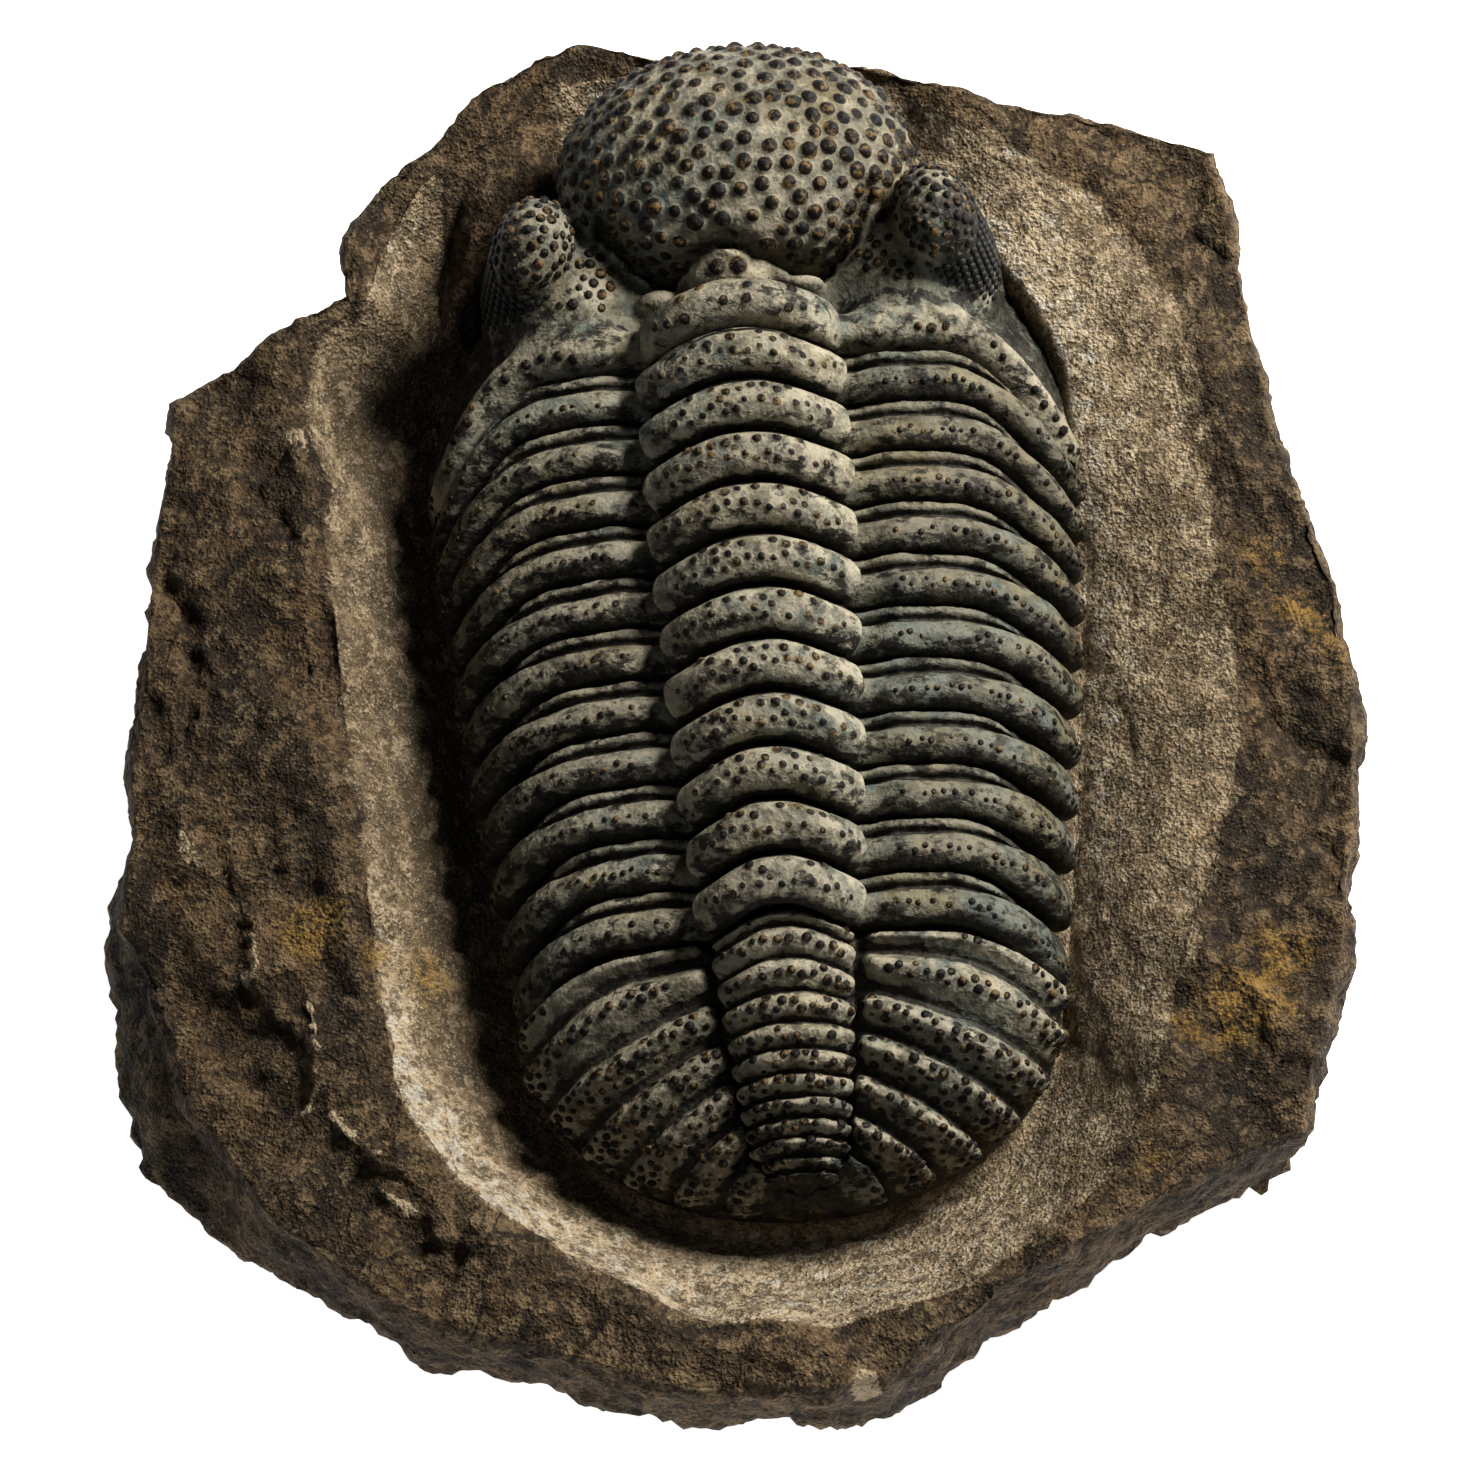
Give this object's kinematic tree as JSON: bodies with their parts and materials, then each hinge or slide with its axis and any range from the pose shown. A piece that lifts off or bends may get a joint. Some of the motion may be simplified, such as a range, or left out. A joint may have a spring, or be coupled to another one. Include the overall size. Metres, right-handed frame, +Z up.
{
  "type": "trilobite fossil on rock",
  "caption": "Large fossil trilobite with warty head, turret eyes, ringed body and ribbed tail, lying in a dish cut in a block of dark limestone.",
  "frame": {"origin": "on the flat underside of the block, under the middle of its outline", "axes": "+Y towards the animal's head, +X to the right as seen from above, +Z up out of the block's face"},
  "size_m": [0.1292, 0.1464, 0.0517],
  "materials": {
    "rock": "rough broken limestone, dark brown outside and pale tan where it was cut away round the animal",
    "shell": "dark grey-green calcite shell, satin, rubbed to tan on its high places"
  },
  "bodies": {
    "root": {"rock_matrix": "rock", "head_shield": "shell", "body_ring_01": "shell", "body_ring_02": "shell", "body_ring_03": "shell", "body_ring_04": "shell", "body_ring_05": "shell", "body_ring_06": "shell", "body_ring_07": "shell", "body_ring_08": "shell", "body_ring_09": "shell", "body_ring_10": "shell", "body_ring_11": "shell", "tail_shield": "shell"}
  },
  "joints": []
}
